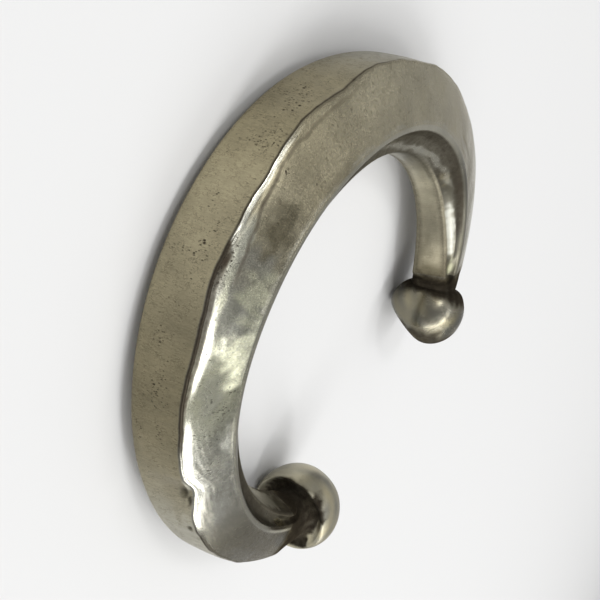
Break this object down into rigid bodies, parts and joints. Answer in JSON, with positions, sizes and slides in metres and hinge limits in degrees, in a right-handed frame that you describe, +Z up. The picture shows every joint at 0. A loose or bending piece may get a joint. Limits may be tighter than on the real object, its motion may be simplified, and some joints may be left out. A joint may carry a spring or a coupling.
{
  "type": "open cuff bangle",
  "caption": "Thick open cuff bangle: hammered C-shaped band with a sharp outer ridge, a hollowed inner bevel, short necks and a mushroom-shaped ball at each end.",
  "frame": {"origin": "bottom centre of the cuff's bounding box, on the surface it lies on", "axes": "+Z up along the ring axis, with the hollowed bevel and the ridge on the upper side; the opening faces -Y and the middle of the back lies at +Y; the mushroom-shaped ball is at -X and the rounder ball at +X"},
  "size_m": [0.082, 0.0734, 0.0143],
  "materials": {
    "silver": "old hammered silver, satin with worn bright edges, fine scratches and pits, dark tarnish in the hollows"
  },
  "bodies": {
    "root": {"bangle": "silver"}
  },
  "joints": []
}
